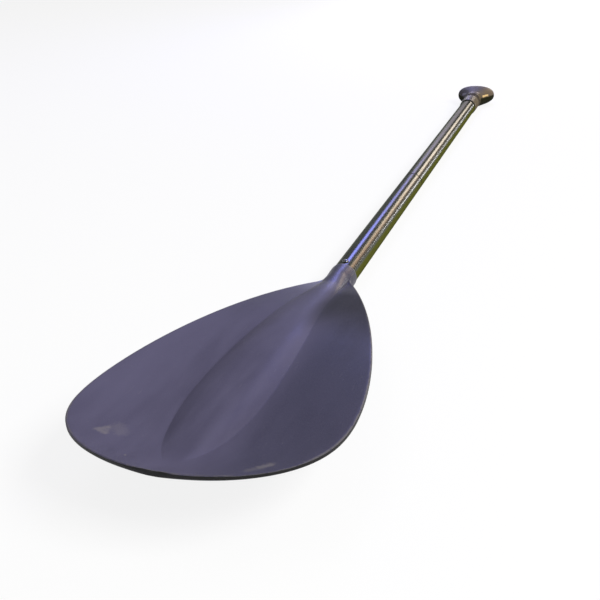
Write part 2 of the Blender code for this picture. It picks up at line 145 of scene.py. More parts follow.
# %% Mark the edges for wear
def ramp(value, start, full):
    """A share that runs evenly from 0 at the start to 1 where it is full."""
    return min(max((value - start) / (full - start), 0.0), 1.0)


def eased(share):
    """The same share, but slow at both ends."""
    return share * share * (3.0 - 2.0 * share)


def mark_edges(piece, reach, angle):
    """Write the attribute edge_wear, 1 on outer edges and 0 from the reach on."""
    mesh = piece.data
    faces_of = {}
    for face in mesh.polygons:
        for key in face.edge_keys:
            faces_of.setdefault(key, []).append(face)
    limit = math.cos(math.radians(angle))
    marked = set()
    for key, faces in faces_of.items():
        if len(faces) != 2:
            continue
        first, second = faces
        outward = first.normal.dot(second.center - first.center) < 0.0
        if outward and first.normal.dot(second.normal) < limit:
            marked.update(key)
    tree = kdtree.KDTree(max(1, len(marked)))
    for index in marked:
        tree.insert(mesh.vertices[index].co, index)
    tree.balance()
    store = mesh.attributes.new("edge_wear", "FLOAT", "POINT")
    for index, vertex in enumerate(mesh.vertices):
        gap = tree.find(vertex.co)[2] if marked else reach
        store.data[index].value = eased(ramp(gap, reach, 0.0))
    print(piece.name, "points on edges:", len(marked))


# %% [markdown]
# Skins for the moulded pieces
#
# The blade, the grip and the button are free forms. Each could be modelled anew, but
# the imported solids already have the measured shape, only with coarse facets. So a copy
# of the solid is merged, its triangles are paired into quads and a subdivision surface
# rounds it, while creased edges stay crisp.

# %% Finer skins
PLACE_DIGITS = 5
SAME_PLACE = 0.1 ** PLACE_DIGITS


def merged_copy(node, name):
    """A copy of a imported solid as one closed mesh, mostly of quads."""
    piece = bpy.data.objects.new(name, bpy.data.objects[node].data.copy())
    bpy.context.scene.collection.objects.link(piece)
    piece.data.materials.clear()
    only(piece)
    bpy.ops.mesh.customdata_custom_splitnormals_clear()
    bpy.ops.object.mode_set(mode="EDIT")
    bpy.ops.mesh.select_mode(type="EDGE")
    bpy.ops.mesh.select_all(action="SELECT")
    bpy.ops.mesh.remove_doubles(threshold=SAME_PLACE)
    bpy.ops.mesh.tris_convert_to_quads(
        face_threshold=math.radians(40.0),
        shape_threshold=math.radians(60.0),
    )
    bpy.ops.mesh.select_all(action="DESELECT")
    bpy.ops.object.mode_set(mode="OBJECT")
    return piece


def round_off(piece, crease_angle, crease, lines=()):
    """Crease the sharp edges and the edges along given points, then subdivide twice."""
    only(piece)
    bpy.ops.object.mode_set(mode="EDIT")
    bpy.ops.mesh.edges_select_sharp(sharpness=math.radians(crease_angle))
    bpy.ops.object.mode_set(mode="OBJECT")
    store = piece.data.attributes.new("crease_edge", "FLOAT", "EDGE")
    for edge in piece.data.edges:
        on_line = edge.vertices[0] in lines and edge.vertices[1] in lines
        store.data[edge.index].value = crease if edge.select or on_line else 0.0
    modify(piece, "rounding", "SUBSURF", levels=2, render_levels=2)
    apply_all(piece)


# %% [markdown]
# The blade's rib has a flat top, two even flanks and a crisp foot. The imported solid
# rounds this off to save faces. Its rings across the blade are still in the copy, with
# eight steps from the middle to the rib's foot. So each ring's points are set on a
# line with one soft corner, and the foot's edges are creased. This sets in gently some
# way from the neck, because nearer to it the rib is round. The rings that cross the rib
# are known by their points: the solid spaces them by even angles, so the one half way
# stands at the sine of 45 degrees of the half width.

# %% Rib of the blade
RIB_STEPS = 8
FLANK_SHARE = 0.44
CORNER_SOFTNESS = 5.0
RIB_OPENS = (0.110, 0.230)
FACES_UP = 0.3
HALF_WAY = math.sin(math.radians(45.0))
SPACING_SLACK = 0.02
FOOT_SLACK = 0.001


def rib_rise(share):
    """Height of the rib at a share of its half width, 1 on top and 0 at the foot."""
    flank = (1.0 - share) / FLANK_SHARE
    both = math.exp(-CORNER_SOFTNESS) + math.exp(-CORNER_SOFTNESS * flank)
    level = -math.log(both) / CORNER_SOFTNESS
    foot = -math.log(math.exp(-CORNER_SOFTNESS) + 1.0) / CORNER_SOFTNESS
    return (level - foot) / (1.0 - foot)


def shape_rib(piece):
    """Set the rib's points ring by ring and give back the points of its foot."""
    rings = {}
    for vertex in piece.data.vertices:
        if vertex.normal.z > FACES_UP:
            rings.setdefault(round(vertex.co.x, PLACE_DIGITS), []).append(vertex)
    foot = set()
    for along, ring in rings.items():
        from_rim = NECK_RIM.x - along
        sides = sorted({round(abs(vertex.co.y), PLACE_DIGITS) for vertex in ring})
        if from_rim < RIB_OPENS[0] or len(sides) <= RIB_STEPS + 1:
            continue
        half_width = sides[RIB_STEPS]
        if abs(sides[RIB_STEPS // 2] / half_width - HALF_WAY) > SPACING_SLACK:
            continue
        crest = max(item.co.z for item in ring if abs(item.co.y) < SAME_PLACE)
        base = max(item.co.z for item in ring if abs(abs(item.co.y) - half_width) < 2.0 * SAME_PLACE)
        opened = eased(ramp(from_rim, *RIB_OPENS))
        for vertex in ring:
            share = abs(vertex.co.y) / half_width
            if share < 1.0 - FOOT_SLACK:
                level = base + (crest - base) * rib_rise(share)
                vertex.co.z += (level - vertex.co.z) * opened
            elif share < 1.0 + FOOT_SLACK:
                foot.add(vertex.index)
    print("rings:", len(rings), "points on the rib's foot:", len(foot))
    return foot


blade = merged_copy("blade", "blade_skin")
rib_foot = shape_rib(blade)
round_off(blade, crease_angle=36.0, crease=0.55, lines=rib_foot)
smooth(blade, angle=50.0)
mark_edges(blade, reach=0.0022, angle=14.0)
settle(blade, "lower_section", "blade")

# %% [markdown]
# The rim of the blade gets painted shade, which makes its faces nearly black. It is the
# only part of the blade whose faces look sideways, so each point's normal tells whether it
# lies there, and the mesh carries the answer as a second number. Near the round neck faces
# look sideways too, so it begins beyond that.

# %% Painted shade on the rim
LOOKS_SIDEWAYS = (0.75, 0.45)
BEYOND_NECK = (0.060, 0.090)
rim_shade = blade.data.attributes.new("sideways_shade", "FLOAT", "POINT")
for index, vertex in enumerate(blade.data.vertices):
    sideways = ramp(abs(vertex.normal.z), *LOOKS_SIDEWAYS)
    rim_shade.data[index].value = sideways * ramp(NECK_RIM.x - vertex.co.x, *BEYOND_NECK)
print("points on the rim:", sum(1 for item in rim_shade.data if item.value > 0.5))

# %% [markdown]
# The palm grip is one moulding with its collar, and the button is a small turned dome.
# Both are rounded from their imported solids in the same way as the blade, with firmer
# creases, because their rims are crisper.

# %% Grip and button
grip = merged_copy("palm_grip", "palm_grip_skin")
round_off(grip, crease_angle=36.0, crease=0.7)
smooth(grip, angle=50.0)
mark_edges(grip, reach=0.0016, angle=14.0)
settle(grip, "upper_section", "palm_grip")

button = merged_copy("neck_button", "neck_button_skin")
round_off(button, crease_angle=40.0, crease=0.7)
smooth(button, angle=45.0)
mark_edges(button, reach=0.0006, angle=14.0)
settle(button, "snap_button", "neck_button")

# %% [markdown]
# The button stands on a leaf spring, a bent steel strip inside the tube. A press
# flattens the strip towards its fixed lower end. Its skin is a smoothed copy of the
# imported solid, with a mesh of its own.

# %% Leaf spring
spring = merged_copy("neck_button_spring", "leaf_spring")
smooth(spring, angle=30.0)
mark_edges(spring, reach=0.0006, angle=28.0)
settle(spring, "lower_section", "neck_button_spring")
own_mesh(spring)

# %% [markdown]
# Tubes
#
# A tube is so plain that it is made new, which gives it far more sides: an open cylinder
# at its size and place, an inner wall by Solidify, and a small bevel on its cut ends.
# The lower tube gets the button's hole with a Boolean, cut before the bevel so that its
# rim is eased too. Rings are then cut around the tube near its ends and the hole, so
# that a number on the points, such as wear, can change there and stay even elsewhere.

# %% Cut holes and rings
HOLE_WIDTH = 0.0076


def cut_hole(piece, place):
    """Drill the button's hole, upright through the wall at a place."""
    bpy.ops.object.select_all(action="DESELECT")
    bpy.ops.mesh.primitive_cylinder_add(vertices=64, radius=HOLE_WIDTH / 2.0, depth=0.02, location=place)
    drill = bpy.context.object
    modify(piece, "hole", "BOOLEAN", operation="DIFFERENCE", solver="EXACT", object=drill)
    apply_all(piece)
    bpy.data.objects.remove(drill, do_unlink=True)


def cut_rings(piece, places):
    """Cut rings around a piece at places along the shaft."""
    only(piece)
    bpy.ops.object.mode_set(mode="EDIT")
    for place in places:
        bpy.ops.mesh.select_all(action="SELECT")
        bpy.ops.mesh.bisect(plane_co=(place, 0.0, 0.0), plane_no=(1.0, 0.0, 0.0))
    bpy.ops.object.mode_set(mode="OBJECT")


# %% Hollow tubes
WALL = 0.0015
END_BEVEL = 0.0007
END_RINGS = (0.0010, 0.0025)
HOLE_RINGS = 0.0060


def tube(name, node, hole=None):
    """A round hollow tube in the place of a packed one, drilled where a hole is given."""
    low, high = (Vector(corner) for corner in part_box(node))
    middle = (low + high) / 2.0
    bpy.ops.object.select_all(action="DESELECT")
    bpy.ops.mesh.primitive_cylinder_add(
        vertices=144,
        radius=(high.z - low.z) / 2.0,
        depth=high.x - low.x,
        end_fill_type="NOTHING",
        location=middle,
        rotation=(0.0, math.pi / 2.0, 0.0),
    )
    piece = bpy.context.object
    piece.name = name
    bpy.ops.object.transform_apply(location=True, rotation=True, scale=True)
    modify(piece, "wall", "SOLIDIFY", thickness=WALL, offset=-1.0, use_even_offset=True)
    places = [low.x + step for step in END_RINGS] + [middle.x]
    places += [high.x - step for step in reversed(END_RINGS)]
    if hole is not None:
        cut_hole(piece, hole)
        places += [hole.x - HOLE_RINGS, hole.x + HOLE_RINGS]
    modify(
        piece,
        "ease",
        "BEVEL",
        width=END_BEVEL,
        segments=3,
        limit_method="ANGLE",
        angle_limit=math.radians(50.0),
    )
    apply_all(piece)
    cut_rings(piece, places)
    smooth(piece, angle=40.0)
    return piece


button_low, button_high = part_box("neck_button")
hole_place = Vector(((button_low[0] + button_high[0]) / 2.0, 0.0, shaft_high.z))
lower_tube = tube("lower_tube", "lower_shaft", hole_place)
upper_tube = tube("upper_tube", "upper_shaft")
print("wall %.4f m, hole %.4f m wide" % (WALL, HOLE_WIDTH))

# %% [markdown]
# Only the two ends that meet at the middle joint show a line of dirt. The end at the
# neck and the button's hole stay clean, and the far end is hidden in the grip, so the
# number is kept within a few millimetres of the seam.

# %% Dirt at the seam
SEAM_DIRT = 0.0018
SEAM_REACH = 0.004
for piece in (lower_tube, upper_tube):
    mark_edges(piece, reach=SEAM_DIRT, angle=28.0)
    wear = piece.data.attributes["edge_wear"].data
    for index, vertex in enumerate(piece.data.vertices):
        if abs(vertex.co.x - shaft_high.x) > SEAM_REACH:
            wear[index].value = 0.0
settle(lower_tube, "lower_section", "lower_shaft")
settle(upper_tube, "upper_section", "upper_shaft")

# %% [markdown]
# Effects for the finishes
#
# Grain, mottling, hairlines, worn edges and scuffs turn up in more than one finish.
# Each of them, and the dust too, is a shader node group with its own inputs and one
# output, built once and then placed in a material with that material's numbers. Short
# helpers for the nodes keep each effect readable.

# %% Helpers for shader nodes
RANGE_SOCKETS = ("Value", "From Min", "From Max", "To Min", "To Max")


def feed(tree, socket, value):
    """Link a socket to another one, or write a plain number or colour on it."""
    if isinstance(value, bpy.types.NodeSocket):
        tree.links.new(value, socket)
    elif socket.type == "RGBA":
        socket.default_value = (*value, 1.0)
    else:
        socket.default_value = value


def add(tree, kind, values, **settings):
    """A shader node with its settings, and numbers or sockets on its inputs."""
    made = tree.nodes.new(kind)
    for name, setting in settings.items():
        setattr(made, name, setting)
    for name, value in values.items():
        feed(tree, made.inputs[name], value)
    return made


def maths(tree, operation, first, second, clamp=False):
    """One sum of two numbers or sockets."""
    values = {0: first, 1: second}
    return add(tree, "ShaderNodeMath", values, operation=operation, use_clamp=clamp).outputs[0]


def vectors(tree, operation, first, second):
    """One sum of two vectors, which puts out a Vector or a Value."""
    values = {0: first, 1: second}
    return add(tree, "ShaderNodeVectorMath", values, operation=operation).outputs


def between(tree, value, low, high, first=0.0, last=1.0):
    """A value that runs softly from first to last while the input goes from low to high."""
    values = dict(zip(RANGE_SOCKETS, (value, low, high, first, last)))
    return add(tree, "ShaderNodeMapRange", values, interpolation_type="SMOOTHSTEP").outputs["Result"]


def noise(tree, where, scale, detail):
    """The value of a noise."""
    values = {"Vector": where, "Scale": scale, "Detail": detail}
    return add(tree, "ShaderNodeTexNoise", values).outputs[0]


def cell_distance(tree, where, scale):
    """The distance to the middle of the nearest of many scattered cells."""
    return add(tree, "ShaderNodeTexVoronoi", {"Vector": where, "Scale": scale}).outputs["Distance"]


def tint(tree, factor, first, second):
    """Two colours mixed by a factor."""
    values = {0: factor, 6: first, 7: second}
    return add(tree, "ShaderNodeMix", values, data_type="RGBA").outputs[2]


# %% [markdown]
# A node group is a small tree of its own. Its sockets are made first, because its
# inside is linked to them. Each effect below is a function that draws this inside and
# gives back the socket that the group puts out.

# %% Build and place an effect
def new_effect(name, output, vector_inputs, number_inputs, inside):
    """A node group with named inputs and one output, filled by a function."""
    tree = bpy.data.node_groups.new(name, "ShaderNodeTree")
    for labels, kind in ((vector_inputs, "NodeSocketVector"), (number_inputs, "NodeSocketFloat")):
        for label in labels:
            tree.interface.new_socket(label, in_out="INPUT", socket_type=kind)
    tree.interface.new_socket(output, in_out="OUTPUT", socket_type="NodeSocketFloat")
    result = inside(tree, tree.nodes.new("NodeGroupInput").outputs)
    feed(tree, tree.nodes.new("NodeGroupOutput").inputs[output], result)
    print("effect:", name)
    return tree


def place_effect(tree, effect, where, **values):
    """Place an effect in a material, set its inputs and give back what it puts out."""
    return add(tree, "ShaderNodeGroup", {"Vector": where, **values}, node_tree=effect).outputs[0]


# %% [markdown]
# Grain is what the mould's texture leaves: tiny bumps of uneven size. A fine noise and
# a cell pattern together look less even than either alone. Mottling is the same idea at
# a much larger size: no moulded or lacquered surface has one even tone.

# %% Grain and mottling
CELL_SCALE = 0.62
CELL_SHARE = 0.5
MOTTLE_RANGE = (0.3, 0.7)


def grain_height(tree, given):
    """A fine noise with a share of a coarser cell pattern on top."""
    cloud = noise(tree, given["Vector"], given["Scale"], detail=3.0)
    coarser = maths(tree, "MULTIPLY", given["Scale"], CELL_SCALE)
    cells = cell_distance(tree, given["Vector"], coarser)
    return maths(tree, "ADD", cloud, maths(tree, "MULTIPLY", cells, CELL_SHARE))


def mottle_value(tree, given):
    """A broad noise, spread until it fills the range from 0 to 1."""
    spread = vectors(tree, "MULTIPLY", given["Vector"], given["Stretch"])["Vector"]
    return between(tree, noise(tree, spread, scale=1.0, detail=5.0), *MOTTLE_RANGE)


grain_effect = new_effect("fine_grain", "Height", ("Vector",), ("Scale",), grain_height)
mottle_effect = new_effect("slow_mottle", "Value", ("Vector", "Stretch"), (), mottle_value)

# %% [markdown]
# Hairlines are long thin marks that run one way. A noise that is stretched along one
# axis gives lines, a high threshold keeps only the thinnest of them, and a second,
# broader noise breaks them up so that they come and go.

# %% Hairlines
LINE_THRESHOLD = 0.78
LINE_SOFTNESS = 0.06
PATCH_SCALE = 31.0
PATCH_RANGE = (0.42, 0.62)


def hairline_mask(tree, given):
    """Thin lines, shown in patches. A larger amount lowers their threshold."""
    pulled = vectors(tree, "MULTIPLY", given["Vector"], given["Stretch"])["Vector"]
    level = maths(tree, "SUBTRACT", LINE_THRESHOLD, given["Amount"])
    softened = maths(tree, "ADD", level, LINE_SOFTNESS)
    thin = between(tree, noise(tree, pulled, scale=1.0, detail=2.0), level, softened)
    shown = between(tree, noise(tree, given["Vector"], PATCH_SCALE, detail=2.0), *PATCH_RANGE)
    return maths(tree, "MULTIPLY", thin, shown)


hair_effect = new_effect("hairlines", "Mask", ("Vector", "Stretch"), ("Amount",), hairline_mask)

# %% [markdown]
# A worn edge is never an even band. The number that the mesh carries near its edges is
# multiplied by a noise before its threshold, so the rubbed band gets a ragged border.

# %% Worn edges
BORDER_SCALE = 260.0
BORDER_LIFT = 0.35
BORDER_SOFTNESS = 0.3


def worn_mask(tree, given):
    """A ragged band along the marked edges. A larger amount makes it wider."""
    ragged = noise(tree, given["Vector"], BORDER_SCALE, detail=4.0)
    ragged = maths(tree, "ADD", ragged, BORDER_LIFT)
    reach = maths(tree, "MULTIPLY", given["Edge"], ragged)
    bite = maths(tree, "SUBTRACT", 1.0, given["Amount"])
    return between(tree, reach, bite, maths(tree, "ADD", bite, BORDER_SOFTNESS))


edge_effect = new_effect("worn_edge", "Mask", ("Vector",), ("Edge", "Amount"), worn_mask)

# %% [markdown]
# Dust lies in single specks and not everywhere. Each cell of a cell pattern gets one
# round dot at its middle, and a broad noise sets how large the dots are, down to none.

# %% Dust specks
DUST_PATCH_SCALE = 57.0
DUST_PATCH_RANGE = (0.45, 0.75)


def speck_mask(tree, given):
    """Round specks, larger where a broad noise is high and missing where it is low."""
    rare = noise(tree, given["Vector"], DUST_PATCH_SCALE, detail=1.0)
    limit = maths(tree, "MULTIPLY", given["Size"], between(tree, rare, *DUST_PATCH_RANGE))
    return maths(tree, "LESS_THAN", cell_distance(tree, given["Vector"], given["Scale"]), limit)


speck_effect = new_effect("dust_specks", "Mask", ("Vector",), ("Scale", "Size"), speck_mask)

# %% [markdown]
# A scuff is a short rubbed stroke. The group measures how far a point is from the line
# between two ends and turns that into a soft mask with a ragged rim, so a mark can be
# put exactly where the real paddle has it.

# %% Scuff strokes
TORN_SCALE = 420.0
TORN_SHARE = 0.9
SCUFF_RIM = (1.25, 0.55)


def scuff_mask(tree, given):
    """A stroke between two ends, measured in widths from its middle line."""
    run = vectors(tree, "SUBTRACT", given["End"], given["Start"])["Vector"]
    from_start = vectors(tree, "SUBTRACT", given["Vector"], given["Start"])["Vector"]
    along = vectors(tree, "DOT_PRODUCT", from_start, run)["Value"]
    whole = vectors(tree, "DOT_PRODUCT", run, run)["Value"]
    share = maths(tree, "DIVIDE", along, whole, clamp=True)
    nearest = add(tree, "ShaderNodeVectorMath", {0: run, "Scale": share}, operation="SCALE")
    away = vectors(tree, "DISTANCE", from_start, nearest.outputs["Vector"])["Value"]
    widths = maths(tree, "DIVIDE", away, given["Width"])
    torn = noise(tree, given["Vector"], TORN_SCALE, detail=4.0)
    torn = maths(tree, "MULTIPLY", torn, TORN_SHARE)
    return between(tree, maths(tree, "ADD", widths, torn), *SCUFF_RIM)


scuff_effect = new_effect("scuff_stroke", "Mask", ("Vector", "Start", "End"), ("Width",), scuff_mask)

# %% [markdown]
# Finishes
#
# Every finish starts from one Principled shader. Numbers that are the same all over the
# surface are written on the shader itself. What changes over the surface is linked:
# colour, roughness, coat weight and the bump's height.
#
# Hands, sun and the ground don't treat a paddle evenly. A zone is the part of a piece
# that has its own tone, written as ranges along the object's axes. Colours are laid
# over each other like paint, each through a mask and by an amount.

# %% Start a finish
def new_finish(name, settings):
    """A Principled material with plain settings, its tree and its shader."""
    made = bpy.data.materials.new(name)
    made.use_nodes = True
    tree = made.node_tree
    shader = tree.nodes["Principled BSDF"]
    for label, value in settings.items():
        feed(tree, shader.inputs[label], value)
    return made, tree, shader


def object_place(tree):
    """The place on the object, as a vector and as its X, Y and Z."""
    where = add(tree, "ShaderNodeTexCoord", {}).outputs["Object"]
    return where, add(tree, "ShaderNodeSeparateXYZ", {"Vector": where}).outputs


def number_on(tree, name):
    """A number that the mesh carries on its points."""
    return add(tree, "ShaderNodeAttribute", {}, attribute_name=name).outputs["Fac"]


def bump(tree, shader, height, distance):
    """Let a height move the surface by a distance in metres."""
    relief = add(tree, "ShaderNodeBump", {"Height": height, "Distance": distance})
    feed(tree, shader.inputs["Normal"], relief.outputs["Normal"])


def joined(tree, operation, number, mask, amount, clamp=False):
    """A number and an amount of a mask, joined by one sum."""
    return maths(tree, operation, number, maths(tree, "MULTIPLY", mask, amount), clamp)


def zone(tree, place, ranges):
    """A soft mask from ranges that all have to hold.

    A range is an axis, where the zone starts, where it is full and, if they aren't 0
    and 1, the mask's values at those two places.
    """
    mask = 1.0
    for axis, *numbers in ranges:
        mask = maths(tree, "MULTIPLY", mask, between(tree, place[axis], *numbers))
    return mask


def uneven(tree, mottle, first, last):
    """A number that wanders between two values with the mottling."""
    return between(tree, mottle, 0.0, 1.0, first, last)


def layered(tree, colour, layers):
    """Lay colours over a first one in order. A layer is its mask, amount and colour."""
    for mask, amount, layer in layers:
        colour = tint(tree, maths(tree, "MULTIPLY", mask, amount), colour, layer)
    return colour


# %% [markdown]
# The blade is moulded from black nylon with a satin skin. Its base colour has a purple
# tint, which is painted lilac sheen, and a lighter painted lilac sheen covers its left side
# away from the tip. Painted shade darkens the right side, the root of the right wing and
# the neck. It is slightly uneven in tone and carries fine hairlines, a few pale scuffs
# where it touched the ground, and small light nicks.

# %% Scuffs and zones of the blade
# A scuff is its start, its end, its width in metres and its strength.
SCUFFS = (
    ((-0.6852, 0.0705, 0.0538), (-0.6785, 0.0652, 0.0515), 0.0052, 0.20),
    ((-0.6850, 0.0700, 0.0537), (-0.6868, 0.0630, 0.0530), 0.0052, 0.20),
    ((-0.6850, 0.0700, 0.0537), (-0.6830, 0.0640, 0.0522), 0.0056, 0.16),
    ((-0.6740, 0.0600, 0.0505), (-0.6800, 0.0540, 0.0504), 0.0110, 0.08),
    ((-0.7070, -0.0600, 0.0575), (-0.7006, -0.0655, 0.0565), 0.0066, 0.12),
    ((-0.7006, -0.0655, 0.0565), (-0.6950, -0.0706, 0.0558), 0.0068, 0.22),
    ((-0.6862, -0.0061, 0.0480), (-0.6866, -0.0066, 0.0480), 0.0018, 0.50),
    ((-0.7120, 0.0315, 0.0559), (-0.7124, 0.0310, 0.0559), 0.0016, 0.45),
    ((-0.6490, -0.0920, 0.0430), (-0.6580, -0.0948, 0.0460), 0.0007, 0.45),
    ((-0.6320, -0.1012, 0.0400), (-0.6420, -0.1038, 0.0430), 0.0006, 0.45),
    ((-0.3910, -0.0032, 0.0230), (-0.4070, -0.0088, 0.0240), 0.0006, 0.35),
    ((-0.5350, -0.0950, 0.0230), (-0.5470, -0.0978, 0.0250), 0.0007, 0.45),
)
# Painted lilac sheen lightens the left wing away from the tip.
LILAC_SHEEN_LEFT = (("Y", 0.030, 0.085), ("X", -0.700, -0.610, 0.0, 0.65))
# Painted shade: the right side, the upper end, the neck and the root of the right wing.
SHADE_RIGHT_SIDE = (("Y", -0.012, -0.060), ("X", -0.685, -0.435, 0.55, 0.95))
SHADE_UPPER_END = (("X", -0.500, -0.380, 0.0, 0.28),)
SHADE_AND_GLOSS_NECK = (("X", -0.375, -0.325),)
SHADE_WING_ROOT = (("Y", -0.004, -0.026), ("X", -0.500, -0.395))
print("scuffs:", len(SCUFFS))

# %% Masks of the blade
blade_finish, tree, shader = new_finish(
    "satin_black_blade", {"Metallic": 0.0, "Specular IOR Level": 0.14, "Coat Roughness": 0.34}
)
where, place = object_place(tree)
grain = place_effect(tree, grain_effect, where, Scale=1500.0)
mottle = place_effect(tree, mottle_effect, where, Stretch=(14.0, 60.0, 60.0))
flow = place_effect(tree, hair_effect, where, Stretch=(60.0, 1500.0, 1500.0), Amount=0.10)
cross = place_effect(tree, hair_effect, where, Stretch=(1300.0, 90.0, 900.0), Amount=0.07)
lines = maths(tree, "MAXIMUM", flow, cross)
rubbed = place_effect(tree, edge_effect, where, Edge=number_on(tree, "edge_wear"), Amount=0.45)
marks = 0.0
for start, end, width, strength in SCUFFS:
    stroke = place_effect(tree, scuff_effect, where, Start=start, End=end, Width=width)
    marks = joined(tree, "MAXIMUM", marks, stroke, strength)
# Masks of painted shade. The neck's mask also carries its coat of gloss.
neck_shade_and_gloss = zone(tree, place, SHADE_AND_GLOSS_NECK)
root_shade = zone(tree, place, SHADE_WING_ROOT)
painted_shade = zone(tree, place, SHADE_RIGHT_SIDE)
for mask, amount in ((zone(tree, place, SHADE_UPPER_END), 1.0), (neck_shade_and_gloss, 0.70), (root_shade, 1.0)):
    painted_shade = joined(tree, "MAXIMUM", painted_shade, mask, amount)
print("nodes in the blade's masks:", len(tree.nodes))

# %% [markdown]
# With the masks ready, the looks are a few lines. Scuffs are paler and rougher than the
# skin. The root of the right wing gets the darkest painted shade and is rougher, because a
# rough face throws back less of the lamps' glare, and only the neck has a coat of gloss.

# %% Satin black blade
# The purple tint of the base colour is painted lilac sheen on black nylon.
colour = layered(
    tree,
    tint(tree, mottle, (0.066, 0.060, 0.105), (0.084, 0.077, 0.130)),
    (
        (zone(tree, place, LILAC_SHEEN_LEFT), 1.0, (0.101, 0.093, 0.160)),
        # painted shade, darkest at the root of the right wing
        (painted_shade, 1.0, (0.026, 0.026, 0.048)),
        (root_shade, 0.85, (0.019, 0.020, 0.024)),
        (between(tree, grain, 0.45, 0.95), 0.22, (0.095, 0.090, 0.130)),
        (lines, 0.35, (0.17, 0.16, 0.20)),
        (rubbed, 0.45, (0.15, 0.14, 0.13)),
        (marks, 1.0, (0.36, 0.33, 0.28)),
        # painted shade on the rim's sideways faces
        (number_on(tree, "sideways_shade"), 0.9, (0.010, 0.010, 0.007)),
    ),
)
feed(tree, shader.inputs["Base Color"], colour)
feed(tree, shader.inputs["Coat Weight"], maths(tree, "MULTIPLY", neck_shade_and_gloss, uneven(tree, mottle, 0.34, 0.46)))
rough = uneven(tree, mottle, 0.44, 0.52)
for mask, amount in ((marks, 0.3), (root_shade, 0.4), (flow, 0.12)):
    rough = joined(tree, "ADD", rough, mask, amount)
feed(tree, shader.inputs["Roughness"], rough)
bump(tree, shader, joined(tree, "SUBTRACT", grain, lines, 0.8), distance=0.00004)
print("finish:", blade_finish.name)

# %% [markdown]
# The tubes are lacquered black. Two layers do this: a black base with a slight orange
# peel, and a clear coat that mirrors the lamps. The coat fades towards grazing angles,
# because old lacquer is hazy there. From a little above its middle down, the tube carries
# a dull olive painted reflection and hardly any coat, and a paler green painted reflection
# lies on its left side. Rubbing has left hairlines, there are a few specks of dust, and
# dirt has gathered in the seam.

# %% Clear coat
COAT_FULL_FROM = 0.48
COAT_FALL = 1.6
COAT_LEAST = 0.06


def clear_coat(tree, strength):
    """The weight of an old clear coat, full head on and hazy towards grazing angles."""
    facing = add(tree, "ShaderNodeLayerWeight", {"Blend": 0.5}).outputs["Facing"]
    head_on = maths(tree, "DIVIDE", maths(tree, "SUBTRACT", 1.0, facing), COAT_FULL_FROM)
    weight = maths(tree, "MULTIPLY", maths(tree, "POWER", head_on, COAT_FALL), 1.0 - COAT_LEAST)
    weight = maths(tree, "ADD", weight, COAT_LEAST, clamp=True)
    return maths(tree, "MULTIPLY", weight, strength)


# %% Black lacquer
# Painted reflections: paler green on the left side, dull olive on the lower half, where most of the coat
# goes.
LEFT_REFLECTION = (("Y", 0.0062, 0.0112),)
LOWER_REFLECTION = (("Z", NECK_RIM.z + 0.0072, NECK_RIM.z + 0.0035),)

lacquer_finish, tree, shader = new_finish(
    "black_lacquer", {"Metallic": 0.0, "Specular IOR Level": 0.0, "Coat Roughness": 0.22, "Coat IOR": 1.5}
)
where, place = object_place(tree)
mottle = place_effect(tree, mottle_effect, where, Stretch=(40.0, 60.0, 60.0))
rings = place_effect(tree, hair_effect, where, Stretch=(2600.0, 45.0, 45.0), Amount=0.04)
drawn = place_effect(tree, hair_effect, where, Stretch=(25.0, 1900.0, 1900.0), Amount=0.08)
dust = place_effect(tree, speck_effect, where, Scale=420.0, Size=0.16)
rubbed = place_effect(tree, edge_effect, where, Edge=number_on(tree, "edge_wear"), Amount=0.7)
lower_reflection = zone(tree, place, LOWER_REFLECTION)
colour = layered(
    tree,
    tint(tree, mottle, (0.018, 0.020, 0.014), (0.026, 0.028, 0.019)),
    (
        (lower_reflection, 1.0, (0.060, 0.065, 0.008)),
        (zone(tree, place, LEFT_REFLECTION), 0.8, (0.15, 0.17, 0.08)),
        (maths(tree, "MAXIMUM", rings, drawn), 0.25, (0.10, 0.10, 0.11)),
        (dust, 0.35, (0.30, 0.29, 0.27)),
        (rubbed, 0.8, (0.020, 0.013, 0.009)),
    ),
)
feed(tree, shader.inputs["Base Color"], colour)
feed(tree, shader.inputs["Roughness"], uneven(tree, mottle, 0.22, 0.32))
kept = joined(tree, "SUBTRACT", 1.0, lower_reflection, 0.9)
coat = maths(tree, "MULTIPLY", clear_coat(tree, 1.0), kept)
feed(tree, shader.inputs["Coat Weight"], joined(tree, "SUBTRACT", coat, rubbed, 0.8, clamp=True))
bump(tree, shader, noise(tree, where, scale=420.0, detail=2.0), distance=0.000001)
print("finish:", lacquer_finish.name)

# %% [markdown]
# The grip is a glossy dark moulding, polished by the palm and with small scratches from
# being set down. Painted reflections lie on its right side, warm tan on the knob and olive
# brown on the collar. Painted shade darkens the groove between the collar and the knob,
# which is also dull, and makes the knob's lower half nearly black. Three paler marks are
# painted highlights.

# %% Zones and painted highlights of the grip
# Painted shade darkens the groove between the collar and the knob.
SHADED_GROOVE = (("X", 0.622, 0.637), ("X", 0.655, 0.649))
# Painted shade makes the knob's lower half nearly black.
SHADED_LOWER_HALF = (("Z", 0.0225, 0.0180),)
ON_KNOB = (("X", 0.650, 0.660),)
# Painted olive-brown reflection on the collar's right side, which also loses gloss.
OLIVE_COLLAR_REFLECTION = (("Y", -0.006, -0.014), ("X", 0.668, 0.658))
# Painted warm highlight on the knob's right side.
WARM_RIGHT_HIGHLIGHT = (("Y", -0.008, -0.024), ("X", 0.650, 0.668))
ROUGH_KNOB = (("X", 0.660, 0.674, 0.0, 0.14),)
COAT_ENDS = (("X", 0.648, 0.660, 1.0, 0.10),)
